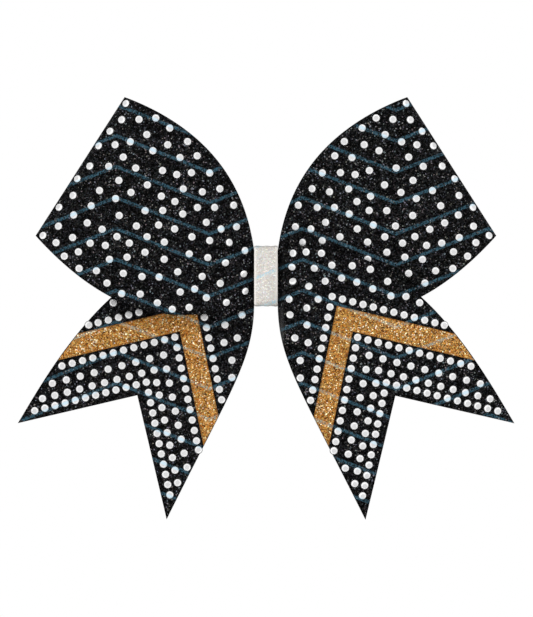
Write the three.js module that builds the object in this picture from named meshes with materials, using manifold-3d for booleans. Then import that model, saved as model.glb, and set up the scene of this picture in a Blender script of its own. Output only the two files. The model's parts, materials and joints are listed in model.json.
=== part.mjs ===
// Cheer hair bow: two glitter-faced ribbon loops and two swallowtail tails, gathered by a thread
// winding, covered by a white glitter knot and held by a lined alligator clip.
//
// Units are mm. X runs across the bow, Y runs from its front to its back, and Z is up. The origin
// lies between the clip's closed jaws, level with the middle of the knot.
import * as THREE from 'three';
import { mergeVertices } from 'three/addons/utils/BufferGeometryUtils.js';
import Module from 'manifold-3d';

const wasm = await Module();
wasm.setup();

// ---------------------------------------------------------------- driving dimensions

// Every panel is a woven backing with a glitter face, a gap apart.
const BACKING_T = 0.6;
const GLITTER_T = 0.6;
const GAP = 0.3;
const PANEL_T = BACKING_T + GAP + GLITTER_T;

// Knot: half its width, how far its front swells, the share of a turn that its end laps, the turn
// by which the lap has risen, and how much narrower its outer face is than its inner one.
const KNOT_HALF_W = 5.3;
const KNOT_DOME = 1.5;
const KNOT_OVERLAP = 0.1;
const LAP_RISEN = 0.99;
const KNOT_BEVEL = 0.1;

// Half heights of the gathered ribbons where they leave the knot and under the thread.
const BOUND_HALF_H = 9.6;
const BOUND_HALF_W = 2.6;
const PANEL_END_X = 0.3;
const IN_KNOT = KNOT_HALF_W - PANEL_END_X;

// Steps along each panel, and how many of them are inside the knot.
const LOOP_STEPS = 30;
const TAIL_STEPS = 20;
const KNOT_STEPS = 2;
const FINER_AT_KNOT = 1.5;

// Depths, from the front back, at which the glitter faces pass through the knot.
const RIGHT_TAIL_Y = -10.1;
const LOOP_FRONT_Y = -8.3;
const LOOP_BACK_Y = -5.0;
const LEFT_TAIL_Y = -4.7;

// Loop: edge curves of the right loop as (x, z) Bezier points from the knot to the fold, and its
// length. The fold lies at FOLD_Y; each half swells away from the knot's level, most of all near
// its swell point, and rounds the fold by its own depth. The swell keeps only a share at the loop's
// edges, but evens out from EVEN_FROM on, so that the fold is straight.
const LOOP_TOP = curve([5.3, 11.5], [10.0, 46.6], [30.6, 68.0], [63.8, 80.7]);
const LOOP_BOTTOM = curve([5.3, -11.5], [44.0, -25.0], [72.2, -16.3], [103.9, 18.2]);
const LOOP_LENGTH = 100;
const FOLD_Y = -12;
const FRONT_SWELL = 14;
const FRONT_SWELL_X = 34;
const REAR_SWELL = 3;
const REAR_SWELL_X = 60;
const FOLD_FRONT = 11;
const FOLD_BACK = 7;
const EDGE_SWELL = 0.6;
const EVEN_FROM = 65;

// Tail: edge curves of the right tail and its notch. The right tail rises over the loop beneath
// it along a half wave, within FLARE_RUN of the knot. The left one hangs flat behind its loop and
// swings forward past LEFT_TAIL_FREE.
const TAIL_TOP = curve([5.3, 11.5], [62.6, 23.3], [97.9, -43.0], [112.2, -66.5]);
const TAIL_BOTTOM = curve([5.3, -11.5], [5.3, -37.5], [14.3, -48.5], [44.9, -110.0]);
const TAIL_NOTCH = new THREE.Vector2(58.2, -53.9);
const NOTCH_SHARE = 0.35;
const TAIL_REACH = 135;
const RIGHT_TAIL_LIFT = 11.5;
const LIFT_SKEW = 0.72;
const FLARE_RUN = 3.5;
const LEFT_TAIL_LIFT = 3.5;
const LEFT_TAIL_FREE = 80;

// Chevron: outer and inner corners on the right tail, and the slopes of its two arms, degrees.
const CHEVRON_T = 0.5;
const CHEVRON_OUTER = new THREE.Vector2(31.9, -13.4);
const CHEVRON_INNER = new THREE.Vector2(39.0, -25.0);
const UPPER_ARM_DEG = -13.3;
const LOWER_ARM_DEG = -101.8;
const CHEVRON_MARGIN = 0.2;

// Clip: the jaws' plates lie either side of y = 0. The fixed jaw is the front one.
const CLIP_TIP_X = -42;
const CLIP_END_X = 27.5;
const CLIP_HALF_W = 4.75;
const PLATE_T = 0.8;
const NOSE_SHARE = 0.6;
const FIXED_JAW_Y = -0.9;
const HINGE = new THREE.Vector2(15, 3.2);
const EAR_R = 2.2;
const EAR_FOOT_HALF = 3.74;
const PIN_R = 1.0;
const PIN_HOLE_R = 1.3;
const PIN_HEAD_R = 1.8;
const INNER_EAR_Z = 3.65;
const SPRING_COIL_R = 1.95;
const SPRING_WIRE_R = 0.35;
const SPRING_TURNS = 2.5;
const TOOTH_PITCH = 1.6;
const TOOTH_TIP_Y = 0.4;
const TOOTH_DEPTH = 0.8;
const SPRING_HALF_Z = 1.6;

// Thread winding round the gathered ribbons, pulled nearly square by their flat faces.
const THREAD_R = 0.4;
const THREAD_TURNS = 3;
const THREAD_PITCH = 1.2;
const THREAD_SQUARENESS = 0.25;

// Glue dabs on either side of the knot. The right one fills a deeper space behind its loop.
const GLUE_X = 16;
const GLUE_HALF_W = 8;
const GLUE_HALF_H = 3.6;
const LEFT_GLUE = { y: -2.5, halfDepth: 0.35 };
const RIGHT_GLUE = { y: -3.2, halfDepth: 0.9 };

// ---------------------------------------------------------------- materials

const BLACK_GLITTER = { color: 0x1b1b1e, roughness: 0.45, metalness: 0.1 };
const BLACK_RIBBON = { color: 0x141416, roughness: 0.85, metalness: 0 };
const GOLD_GLITTER = { color: 0xbe8a3e, roughness: 0.4, metalness: 0.4 };
const WHITE_GLITTER = { color: 0xded7cf, roughness: 0.5, metalness: 0.05 };
const WHITE_RIBBON = { color: 0xe6e3de, roughness: 0.85, metalness: 0 };
const NICKEL = { color: 0xc4c6c8, roughness: 0.25, metalness: 1 };
const SPRING_STEEL = { color: 0x9a9da0, roughness: 0.3, metalness: 1 };
const THREAD = { color: 0x101012, roughness: 0.8, metalness: 0 };
const GLUE = { color: 0xe9e4d2, roughness: 0.35, metalness: 0 };

// ---------------------------------------------------------------- helpers

function curve(...points) {
  return new THREE.CubicBezierCurve(...points.map(([x, y]) => new THREE.Vector2(x, y)));
}

function smooth(x, from, to) {
  return THREE.MathUtils.smoothstep(x, from, to);
}

function node(name, geometry, look) {
  const mesh = new THREE.Mesh(geometry, new THREE.MeshStandardMaterial(look));
  mesh.name = name;
  return mesh;
}

function signedVolume(positions, index) {
  const corner = (k) => new THREE.Vector3().fromArray(positions, 3 * index[k]);
  let volume = 0;
  for (let k = 0; k < index.length; k += 3) {
    volume += corner(k).dot(corner(k + 1).cross(corner(k + 2))) / 6;
  }
  return volume;
}

// A closed thin solid between two surfaces: point(u, v, inner) gives [x, y, z] on either one.
function thinSolid(uSteps, vSteps, point) {
  const positions = [];
  const index = [];
  const at = (i, j, inner) => ((inner ? uSteps + 1 : 0) + i) * (vSteps + 1) + j;
  const quad = (a, b, c, d) => index.push(a, b, c, a, c, d);
  for (const inner of [false, true]) {
    for (let i = 0; i <= uSteps; i += 1) {
      for (let j = 0; j <= vSteps; j += 1) {
        positions.push(...point(i / uSteps, j / vSteps, inner));
      }
    }
  }
  for (let i = 0; i < uSteps; i += 1) {
    for (let j = 0; j < vSteps; j += 1) {
      quad(at(i, j, false), at(i + 1, j, false), at(i + 1, j + 1, false), at(i, j + 1, false));
      quad(at(i, j, true), at(i, j + 1, true), at(i + 1, j + 1, true), at(i + 1, j, true));
    }
    quad(at(i, 0, false), at(i, 0, true), at(i + 1, 0, true), at(i + 1, 0, false));
    quad(at(i, vSteps, false), at(i + 1, vSteps, false), at(i + 1, vSteps, true), at(i, vSteps, true));
  }
  for (let j = 0; j < vSteps; j += 1) {
    quad(at(0, j, false), at(0, j + 1, false), at(0, j + 1, true), at(0, j, true));
    quad(at(uSteps, j, false), at(uSteps, j, true), at(uSteps, j + 1, true), at(uSteps, j + 1, false));
  }
  if (signedVolume(positions, index) < 0) {
    index.reverse();
  }
  const geometry = new THREE.BufferGeometry();
  geometry.setAttribute('position', new THREE.Float32BufferAttribute(positions, 3));
  geometry.setIndex(index);
  geometry.computeVertexNormals();
  return geometry;
}

function solid(geometry) {
  const bare = geometry.clone();
  bare.deleteAttribute('normal');
  bare.deleteAttribute('uv');
  const merged = mergeVertices(bare, 1e-4);
  return new wasm.Manifold(
    new wasm.Mesh({
      numProp: 3,
      vertProperties: new Float32Array(merged.attributes.position.array),
      triVerts: new Uint32Array(merged.index.array),
    }),
  );
}

function geometryOf(manifold) {
  const mesh = manifold.getMesh();
  const geometry = new THREE.BufferGeometry();
  geometry.setAttribute('position', new THREE.BufferAttribute(mesh.vertProperties, 3));
  geometry.setIndex(new THREE.BufferAttribute(mesh.triVerts, 1));
  geometry.computeVertexNormals();
  return geometry;
}

// An (x, y) outline made solid from z = from to z = to.
function slab(outline, from, to) {
  const options = { depth: to - from, bevelEnabled: false };
  return solid(new THREE.ExtrudeGeometry(new THREE.Shape(outline), options).translate(0, 0, from));
}

function tube(points, radius, steps, sides) {
  const section = new THREE.Shape(
    Array.from({ length: sides }, (_, k) => {
      const angle = (2 * Math.PI * k) / sides;
      return new THREE.Vector2(radius * Math.cos(angle), radius * Math.sin(angle));
    }),
  );
  const extrudePath = new THREE.CatmullRomCurve3(points, false, 'centripetal');
  return new THREE.ExtrudeGeometry(section, { extrudePath, steps, bevelEnabled: false });
}

// ---------------------------------------------------------------- panels at the knot

// Half height of every panel at |x| inside the knot, drawn in under the thread.
function boundHalfHeight(x) {
  const drawn = smooth(x, BOUND_HALF_W, KNOT_HALF_W);
  return THREE.MathUtils.lerp(BOUND_HALF_H, LOOP_TOP.v0.y, drawn);
}

// Share u of a panel's length, as a share of its run outside the knot. It goes from -1 to 0 over
// the part inside the knot, which takes the share `hidden` of the steps at each end.
function fromKnot(u, hidden, bothEnds = true) {
  const last = bothEnds ? 1 - hidden : 1;
  if (u < hidden) {
    return (u - hidden) / hidden / 2;
  }
  if (u > last) {
    return 1 + (u - last) / hidden / 2;
  }
  return (u - hidden) / (last - hidden);
}

// The (x, z) point of a right-hand panel at distance `along` from the knot's side, where v runs
// from its lower to its upper edge. Inside the knot `along` is negative.
function panelPoint(top, bottom, along, length, v) {
  if (along < 0) {
    const x = KNOT_HALF_W + along;
    return new THREE.Vector2(x, boundHalfHeight(x) * (2 * v - 1));
  }
  const s = along / length;
  return bottom.getPoint(s).lerp(top.getPoint(s), v);
}

// ---------------------------------------------------------------- loops

// Side view of a loop as (along, y) from the knot out to the fold, and back again.
const LOOP_FRONT = curve(
  [0, LOOP_FRONT_Y],
  [FRONT_SWELL_X, LOOP_FRONT_Y - FRONT_SWELL],
  [LOOP_LENGTH, FOLD_Y - FOLD_FRONT],
  [LOOP_LENGTH, FOLD_Y],
);
const LOOP_REAR = curve(
  [LOOP_LENGTH, FOLD_Y],
  [LOOP_LENGTH, FOLD_Y + FOLD_BACK],
  [REAR_SWELL_X, LOOP_BACK_Y - REAR_SWELL],
  [0, LOOP_BACK_Y],
);

// The glitter face of a loop as (along, y), at u of the way round it and v of the way up it.
function loopFace(u, v) {
  const turn = 2 * fromKnot(u, KNOT_STEPS / LOOP_STEPS);
  const front = u < 0.5;
  const level = front ? LOOP_FRONT_Y : LOOP_BACK_Y;
  const out = front ? turn : 2 - turn;
  if (out < 0) {
    return new THREE.Vector2(out * IN_KNOT, level);
  }
  const point = front ? LOOP_FRONT.getPoint(turn) : LOOP_REAR.getPoint(turn - 1);
  const chord = THREE.MathUtils.lerp(level, FOLD_Y, point.x / LOOP_LENGTH);
  const arched = EDGE_SWELL + (1 - EDGE_SWELL) * Math.sin(Math.PI * v);
  const swell = THREE.MathUtils.lerp(arched, 1, smooth(point.x, EVEN_FROM, LOOP_LENGTH));
  return new THREE.Vector2(point.x, chord + (point.y - chord) * swell);
}

function loopGeometry(side, outerDepth, innerDepth) {
  return thinSolid(LOOP_STEPS, 6, (u, v, inner) => {
    const face = loopFace(u, v);
    const ahead = loopFace(Math.min(1, u + 1e-4), v);
    const run = ahead.sub(loopFace(Math.max(0, u - 1e-4), v)).normalize();
    const depth = inner ? innerDepth : outerDepth;
    const along = face.x - run.y * depth;
    const xz = panelPoint(LOOP_TOP, LOOP_BOTTOM, along, LOOP_LENGTH, v);
    return [side * xz.x, face.y + run.x * depth, xz.y];
  });
}

// ---------------------------------------------------------------- tails

// Depth of a tail's glitter face at a distance from the middle of the knot.
function tailDepth(side, x, z) {
  const r = Math.hypot(x, z);
  if (side > 0) {
    const lift = Math.sin(Math.PI * Math.min(1, r / TAIL_REACH) ** LIFT_SKEW);
    const flare = THREE.MathUtils.clamp((x - KNOT_HALF_W) / FLARE_RUN, 0, 1);
    return RIGHT_TAIL_Y - RIGHT_TAIL_LIFT * lift * flare;
  }
  return LEFT_TAIL_Y - LEFT_TAIL_LIFT * smooth(r, LEFT_TAIL_FREE, TAIL_REACH);
}

// The (x, z) point of the right tail, with its end drawn to the straight cuts of the notch.
function tailPoint(u, v) {
  const run = fromKnot(u, KNOT_STEPS / TAIL_STEPS, false);
  const share = 1 - NOTCH_SHARE * (1 - Math.abs(2 * v - 1));
  if (run < 0) {
    return panelPoint(TAIL_TOP, TAIL_BOTTOM, 2 * run * IN_KNOT, 1, v);
  }
  const s = run ** FINER_AT_KNOT;
  const xz = panelPoint(TAIL_TOP, TAIL_BOTTOM, s * share, 1, v);
  const end = panelPoint(TAIL_TOP, TAIL_BOTTOM, share, 1, v);
  const tip = (v < 0.5 ? TAIL_BOTTOM : TAIL_TOP).getPoint(1);
  const cut = TAIL_NOTCH.clone().lerp(tip, Math.abs(2 * v - 1));
  return xz.add(cut.sub(end).multiplyScalar(s ** 3));
}

function tailGeometry(side, outerDepth, innerDepth) {
  return thinSolid(TAIL_STEPS, 8, (u, v, inner) => {
    const { x, y: z } = tailPoint(u, v);
    return [side * x, tailDepth(side, x, z) + (inner ? innerDepth : outerDepth), z];
  });
}

// ---------------------------------------------------------------- chevrons

// Where a ray from `start` at `degrees` crosses an edge curve of the tail.
function edgeCrossing(edge, start, degrees) {
  const angle = THREE.MathUtils.degToRad(degrees);
  const across = new THREE.Vector2(-Math.sin(angle), Math.cos(angle));
  const away = (t) => edge.getPoint(t).sub(start).dot(across);
  let low = 0.1;
  let high = 1;
  const sign = Math.sign(away(low));
  for (let k = 0; k < 40; k += 1) {
    const middle = (low + high) / 2;
    if (Math.sign(away(middle)) === sign) {
      low = middle;
    } else {
      high = middle;
    }
  }
  const hit = edge.getPoint(low);
  return hit.lerp(start, CHEVRON_MARGIN / hit.distanceTo(start));
}

function chevronGeometry(side) {
  const line = (corner) => [
    edgeCrossing(TAIL_TOP, corner, UPPER_ARM_DEG),
    corner,
    edgeCrossing(TAIL_BOTTOM, corner, LOWER_ARM_DEG),
  ];
  const outer = line(CHEVRON_OUTER);
  const inner = line(CHEVRON_INNER);
  const along = ([start, corner, end], u) =>
    u < 0.5 ? start.clone().lerp(corner, 2 * u) : corner.clone().lerp(end, 2 * u - 1);
  return thinSolid(16, 2, (u, v, back) => {
    const { x, y: z } = along(outer, u).lerp(along(inner, u), v);
    const face = tailDepth(side, x, z) - GAP;
    return [side * x, back ? face : face - CHEVRON_T, z];
  });
}

// ---------------------------------------------------------------- knot

// Outer outline of the knot strip as (y, z), round from the middle of its back.
const KNOT_OUTLINE = knotOutline([
  [1.7, 0],
  [1.7, 5.8],
  [0.6, 9.6],
  [-2.2, 13.0],
  [-5, 13.5],
  [-9.5, 13.5],
  [-12, 12],
  [-12.9, 7.5],
  [-13, 0],
]);

function knotOutline(upper) {
  const lower = upper.slice(1, -1).reverse();
  const points = [
    ...upper.map(([y, z]) => new THREE.Vector3(0, y, z)),
    ...lower.map(([y, z]) => new THREE.Vector3(0, y, -z)),
  ];
  return new THREE.CatmullRomCurve3(points, true, 'centripetal');
}

// The strip starts at the back, goes once round and ends lapped over its own start.
function knotGeometry(outerDepth, innerDepth) {
  return thinSolid(44, 4, (u, v, inner) => {
    const turn = u * (1 + KNOT_OVERLAP);
    const point = KNOT_OUTLINE.getPointAt(turn % 1);
    const tangent = KNOT_OUTLINE.getTangentAt(turn % 1);
    const normal = new THREE.Vector3(0, tangent.z, -tangent.y);
    const lap = (PANEL_T + GAP) * smooth(turn, 1 - KNOT_OVERLAP, LAP_RISEN);
    const dome = KNOT_DOME * (1 - (2 * v - 1) ** 2) * Math.max(0, -normal.y) ** 2;
    const out = lap + dome - (inner ? innerDepth : outerDepth);
    const half = KNOT_HALF_W - (inner ? 0 : KNOT_BEVEL);
    return [half * (2 * v - 1), point.y + normal.y * out, point.z + normal.z * out];
  });
}

function threadGeometry() {
  const middleY = (RIGHT_TAIL_Y + LEFT_TAIL_Y + PANEL_T) / 2;
  const halfY = (LEFT_TAIL_Y + PANEL_T - RIGHT_TAIL_Y) / 2 + GAP + 1.3 * THREAD_R;
  const halfZ = BOUND_HALF_H + GAP + 3 * THREAD_R;
  const squared = (wave) => Math.sign(wave) * Math.abs(wave) ** THREAD_SQUARENESS;
  const points = [];
  for (let k = 0; k <= 16 * THREAD_TURNS; k += 1) {
    const angle = (Math.PI * k) / 8;
    const x = THREAD_PITCH * (k / 16 - THREAD_TURNS / 2);
    const y = middleY + halfY * squared(Math.cos(angle));
    points.push(new THREE.Vector3(x, y, halfZ * squared(Math.sin(angle))));
  }
  return tube(points, THREAD_R, 48, 6);
}

// ---------------------------------------------------------------- clip

// An (x, z) plate with a rounded tip, made solid from y = from to y = to.
function platePart(tipX, endX, halfWidth, from, to) {
  const shape = new THREE.Shape();
  const nose = NOSE_SHARE * halfWidth;
  shape.moveTo(tipX + nose, -halfWidth);
  shape.lineTo(endX - nose, -halfWidth);
  shape.quadraticCurveTo(endX, -halfWidth, endX, 0);
  shape.quadraticCurveTo(endX, halfWidth, endX - nose, halfWidth);
  shape.lineTo(tipX + nose, halfWidth);
  shape.quadraticCurveTo(tipX, halfWidth, tipX, 0);
  shape.quadraticCurveTo(tipX, -halfWidth, tipX + nose, -halfWidth);
  const options = { depth: to - from, bevelEnabled: false, curveSegments: 5 };
  return new THREE.ExtrudeGeometry(shape, options).rotateX(Math.PI / 2).translate(0, to, 0);
}

// An upright ear between `foot` and the hinge, rounded about it, on one side of the clip.
function ear(foot, side, outerZ) {
  const rounding = Array.from({ length: 9 }, (_, k) => {
    const angle = (Math.PI * k) / 8;
    const up = foot < HINGE.y ? 1 : -1;
    return new THREE.Vector2(
      HINGE.x + EAR_R * Math.cos(angle),
      HINGE.y + up * EAR_R * Math.sin(angle),
    );
  });
  const outline = [
    ...rounding,
    new THREE.Vector2(HINGE.x - EAR_FOOT_HALF, foot),
    new THREE.Vector2(HINGE.x + EAR_FOOT_HALF, foot),
  ];
  const from = side > 0 ? outerZ - PLATE_T : -outerZ;
  return slab(outline, from, from + PLATE_T);
}

function pinHole() {
  const bore = new THREE.CylinderGeometry(PIN_HOLE_R, PIN_HOLE_R, 4 * CLIP_HALF_W, 20);
  return solid(bore.rotateX(Math.PI / 2).translate(HINGE.x, HINGE.y, 0));
}

function fixedJawGeometry() {
  const top = FIXED_JAW_Y + PLATE_T;
  let jaw = solid(platePart(CLIP_TIP_X, CLIP_END_X, CLIP_HALF_W, FIXED_JAW_Y, top));
  for (const side of [-1, 1]) {
    jaw = jaw.add(ear(FIXED_JAW_Y + PLATE_T / 2, side, CLIP_HALF_W));
  }
  return geometryOf(jaw.subtract(pinHole()));
}

// Middle line of the moving jaw's plate, from its tip over the hinge to its thumb lever.
const MOVING_PLATE = [
  [CLIP_TIP_X, 0.6],
  [-38.5, 1.5],
  [-25, 3.0],
  [-10, 4.4],
  [4, 5.5],
  [10, 6.0],
  [15, 6.4],
  [20, 7.6],
  [23, 9.0],
  [CLIP_END_X, 10.8],
].map(([x, y]) => new THREE.Vector2(x, y));

function plateStrip(points) {
  const half = PLATE_T / 2;
  const lift = (by) => points.map((p) => new THREE.Vector2(p.x, p.y + by));
  return [...lift(half), ...lift(-half).reverse()];
}

// A side flange under the jaw whose free edge is a row of teeth.
function toothedFlange(side) {
  const span = MOVING_PLATE.slice(1, 4);
  const start = span[0].x;
  const end = span[span.length - 1].x;
  const root = TOOTH_TIP_Y + TOOTH_DEPTH;
  const teeth = [];
  const count = Math.floor((end - start) / TOOTH_PITCH);
  for (let k = 0; k < count; k += 1) {
    const x = start + k * TOOTH_PITCH;
    teeth.push(new THREE.Vector2(x, root));
    teeth.push(new THREE.Vector2(x + TOOTH_PITCH / 2, TOOTH_TIP_Y));
  }
  const outline = [...span.slice().reverse(), ...teeth, new THREE.Vector2(end, root)];
  const from = side > 0 ? CLIP_HALF_W - PLATE_T : -CLIP_HALF_W;
  return slab(outline, from, from + PLATE_T);
}

function movingJawGeometry() {
  const jawPart = MOVING_PLATE.slice(0, 6);
  const lever = MOVING_PLATE.slice(-3);
  let jaw = slab(plateStrip(MOVING_PLATE), -INNER_EAR_Z, INNER_EAR_Z);
  jaw = jaw.add(slab(plateStrip(jawPart), -CLIP_HALF_W, CLIP_HALF_W));
  jaw = jaw.add(slab(plateStrip(lever), -CLIP_HALF_W, CLIP_HALF_W));
  for (const side of [-1, 1]) {
    jaw = jaw.add(ear(MOVING_PLATE[6].y, side, INNER_EAR_Z));
    jaw = jaw.add(toothedFlange(side));
  }
  return geometryOf(jaw.subtract(pinHole()));
}

function pinGeometry() {
  const face = CLIP_HALF_W + GAP;
  const profile = [
    [0, -face - PLATE_T],
    [PIN_HEAD_R, -face - PLATE_T / 2],
    [PIN_HEAD_R, -face],
    [PIN_R, -face],
    [PIN_R, face],
    [PIN_HEAD_R, face],
    [PIN_HEAD_R, face + PLATE_T / 2],
    [0, face + PLATE_T],
  ].map(([r, z]) => new THREE.Vector2(r, z));
  const lathe = new THREE.LatheGeometry(profile, 16);
  return lathe.rotateX(Math.PI / 2).translate(HINGE.x, HINGE.y, 0);
}

// The spring's legs as (x, y) from the hinge: one on the fixed jaw, one under the thumb lever.
const SPRING_FIXED_LEG = [[9, -2.6], [4.5, -2.35]];
const SPRING_LEVER_LEG = [[4.0, 2.9], [7.5, 4.6]];

function hingePoint(x, y, z) {
  return new THREE.Vector3(HINGE.x + x, HINGE.y + y, z);
}

function springGeometry() {
  const points = SPRING_FIXED_LEG.map(([x, y]) => hingePoint(x, y, SPRING_HALF_Z));
  const steps = SPRING_TURNS * 12;
  for (let k = 0; k <= steps; k += 1) {
    const angle = -Math.PI / 2 - (2 * Math.PI * SPRING_TURNS * k) / steps;
    const x = SPRING_COIL_R * Math.cos(angle);
    const y = SPRING_COIL_R * Math.sin(angle);
    points.push(hingePoint(x, y, SPRING_HALF_Z * (1 - (2 * k) / steps)));
  }
  points.push(...SPRING_LEVER_LEG.map(([x, y]) => hingePoint(x, y, -SPRING_HALF_Z)));
  return tube(points, SPRING_WIRE_R, 64, 6);
}

// A flattened dab of glue between the lining and the panel in front of it.
function glueGeometry(side, { y, halfDepth }) {
  const dab = new THREE.SphereGeometry(1, 14, 8);
  return dab.scale(GLUE_HALF_W, halfDepth, GLUE_HALF_H).translate(side * GLUE_X, y, 0);
}

// ---------------------------------------------------------------- assembly

const bow = new THREE.Group();
const faceOuter = 0;
const faceInner = GLITTER_T;
const backOuter = GLITTER_T + GAP;
const backInner = PANEL_T;

for (const [word, side] of [['left', -1], ['right', 1]]) {
  bow.add(node(`loop_${word}_glitter`, loopGeometry(side, faceOuter, faceInner), BLACK_GLITTER));
  bow.add(node(`loop_${word}_ribbon`, loopGeometry(side, backOuter, backInner), BLACK_RIBBON));
  bow.add(node(`tail_${word}_glitter`, tailGeometry(side, faceOuter, faceInner), BLACK_GLITTER));
  bow.add(node(`tail_${word}_ribbon`, tailGeometry(side, backOuter, backInner), BLACK_RIBBON));
  bow.add(node(`chevron_${word}`, chevronGeometry(side), GOLD_GLITTER));
}

bow.add(node('knot_glitter', knotGeometry(faceOuter, faceInner), WHITE_GLITTER));
bow.add(node('knot_ribbon', knotGeometry(backOuter, backInner), WHITE_RIBBON));
bow.add(node('binding_thread', threadGeometry(), THREAD));

const liningBack = FIXED_JAW_Y - GAP;
const lining = platePart(CLIP_TIP_X, CLIP_END_X, CLIP_HALF_W, liningBack - BACKING_T, liningBack);
bow.add(node('clip_lining', lining, BLACK_RIBBON));
bow.add(node('clip_fixed_jaw', fixedJawGeometry(), NICKEL));
bow.add(node('clip_moving_jaw', movingJawGeometry(), NICKEL));
bow.add(node('clip_pin', pinGeometry(), NICKEL));
bow.add(node('clip_spring', springGeometry(), SPRING_STEEL));
bow.add(node('glue_left', glueGeometry(-1, LEFT_GLUE), GLUE));
bow.add(node('glue_right', glueGeometry(1, RIGHT_GLUE), GLUE));

export default bow;
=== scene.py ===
"""Looks for the cheer hair bow.

Shapes are worked out in millimetres in the CAD row frame: X across the bow, Y from its front to
its back, Z up. mesh_object() turns them into metres.
"""
import json
import math
import random

import bpy
import numpy as np
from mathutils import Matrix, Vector


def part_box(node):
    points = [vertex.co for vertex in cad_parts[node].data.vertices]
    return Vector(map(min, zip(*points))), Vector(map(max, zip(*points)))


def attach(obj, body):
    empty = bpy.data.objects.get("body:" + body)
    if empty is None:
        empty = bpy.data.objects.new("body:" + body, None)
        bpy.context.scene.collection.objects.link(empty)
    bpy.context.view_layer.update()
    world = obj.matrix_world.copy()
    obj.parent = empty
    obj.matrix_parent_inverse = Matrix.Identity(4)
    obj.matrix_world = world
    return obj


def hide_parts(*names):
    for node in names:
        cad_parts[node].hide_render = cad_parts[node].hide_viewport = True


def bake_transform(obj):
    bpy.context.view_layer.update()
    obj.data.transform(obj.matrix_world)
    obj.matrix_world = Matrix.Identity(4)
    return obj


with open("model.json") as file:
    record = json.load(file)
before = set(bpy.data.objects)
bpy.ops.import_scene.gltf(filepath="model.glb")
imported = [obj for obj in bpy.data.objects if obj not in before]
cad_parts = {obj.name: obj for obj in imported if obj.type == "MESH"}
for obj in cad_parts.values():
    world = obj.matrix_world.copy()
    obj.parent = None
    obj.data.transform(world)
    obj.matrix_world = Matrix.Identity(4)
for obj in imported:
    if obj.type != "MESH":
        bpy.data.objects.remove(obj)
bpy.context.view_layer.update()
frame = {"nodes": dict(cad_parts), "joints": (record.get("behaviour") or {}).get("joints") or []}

# Metres in a millimetre.
MM = 0.001

# ------------------------------------------------------------------ sizes

# Knot half width, from the frame, and the half heights of the ribbons beside it and where the
# thread binds them. The thread's half width, and how far the ribbons run on inside the knot.
KNOT_HALF_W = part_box("knot_ribbon")[1].x / MM
BESIDE_KNOT_H = 11.5
BOUND_HALF_H = 9.6
BOUND_HALF_W = 2.6
IN_KNOT = KNOT_HALF_W - 0.3

# Ribbon width where it is full and where it is gathered, which the hems are measured by.
RIBBON_W = 75
GATHERED_W = 25

# Shares of a panel's u that lie inside the knot: at each end of a loop, at the start of a tail.
LOOP_HIDDEN = 0.04
TAIL_HIDDEN = 0.05

# Mesh steps along and across each sheet.
LOOP_GRID = (220, 44)
TAIL_GRID = (130, 64)
CHEVRON_GRID = (160, 12)
KNOT_GRID = (260, 28)
LINING_GRID = (140, 12)

# Layers of a panel, as depths under its glitter face.
FACE_T = 0.45
BACKING_FROM = 0.47
BACKING_TO = 0.95

# Depths, from the front back, at which the glitter faces pass through the knot.
RIGHT_TAIL_Y = -10.1
LOOP_FRONT_Y = -8.3
LOOP_BACK_Y = -5.0
LEFT_TAIL_Y = -4.7

# Edge curves of the right loop and tail, as (x, z) Bezier points from the knot outwards. The notch
# is the inner corner of the swallowtail, and takes its share off the middle of the tail's run.
LOOP_TOP = ((5.3, 11.5), (10.0, 46.6), (30.6, 68.0), (63.8, 80.7))
LOOP_BOTTOM = ((5.3, -11.5), (44.0, -25.0), (72.2, -16.3), (103.9, 18.2))
TAIL_TOP = ((5.3, 11.5), (62.6, 23.3), (97.9, -43.0), (112.2, -66.5))
TAIL_BOTTOM = ((5.3, -11.5), (5.3, -37.5), (14.3, -48.5), (44.9, -110.0))
TAIL_NOTCH = (58.2, -53.9)
NOTCH_SHARE = 0.35

# Side view of a loop as (along, y), from the knot to the fold and back. Its edges keep a share of
# the swell in its middle, and the two draw level from EVEN_FROM to the fold.
LOOP_LENGTH = 100.0
FOLD_Y = -12.0
LOOP_FRONT = ((0, LOOP_FRONT_Y), (34, -22.3), (LOOP_LENGTH, -23), (LOOP_LENGTH, FOLD_Y))
LOOP_REAR = ((LOOP_LENGTH, FOLD_Y), (LOOP_LENGTH, -5), (60, -8), (0, LOOP_BACK_Y))
EDGE_SWELL = 0.6
EVEN_FROM = 65.0

# Tail: how far the right one lifts off the loop beneath it, how the arch leans to the knot, and the
# run of x over which it rises there. How far the left one swings forward, and from where. The hem
# at the cut end is measured back over TAIL_RUN.
TAIL_REACH = 135.0
TAIL_RUN = 110
RIGHT_TAIL_LIFT = 11.5
LIFT_SKEW = 0.72
FLARE_RUN = 3.5
LEFT_TAIL_LIFT = 3.5
LEFT_TAIL_FREE = 80.0

# Waves over the free part of a tail, and how far its points curl back.
SWAY = 0.45
SWAY_LENGTH = 11.0
SWAY_SLANT = 4
SWAY_RISE = (55, 90)
CURL = 1.8
CURL_FROM = 95

# Soft pleats that spread from the knot over the front panels, at their full depth from
# PLEAT_FULL_X and fading out over a range of distances from the middle.
PLEAT_DEPTH = 0.8
PLEATS_PER_RADIAN = 7.0
PLEAT_FULL_X = 11
PLEAT_FADE = (16, 58)

# Chevron: corners on the right tail, arm slopes in degrees, width, thickness with the gap under
# it, and how far its ends stop short of the tail's edges.
CHEVRON_OUTER = (31.9, -13.4)
CHEVRON_INNER = (39.0, -25.0)
UPPER_ARM_DEG = -13.3
LOWER_ARM_DEG = -101.8
CHEVRON_W = 9.5
CHEVRON_T = 0.4
CHEVRON_GAP = 0.02
CHEVRON_MARGIN = 0.35

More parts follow.
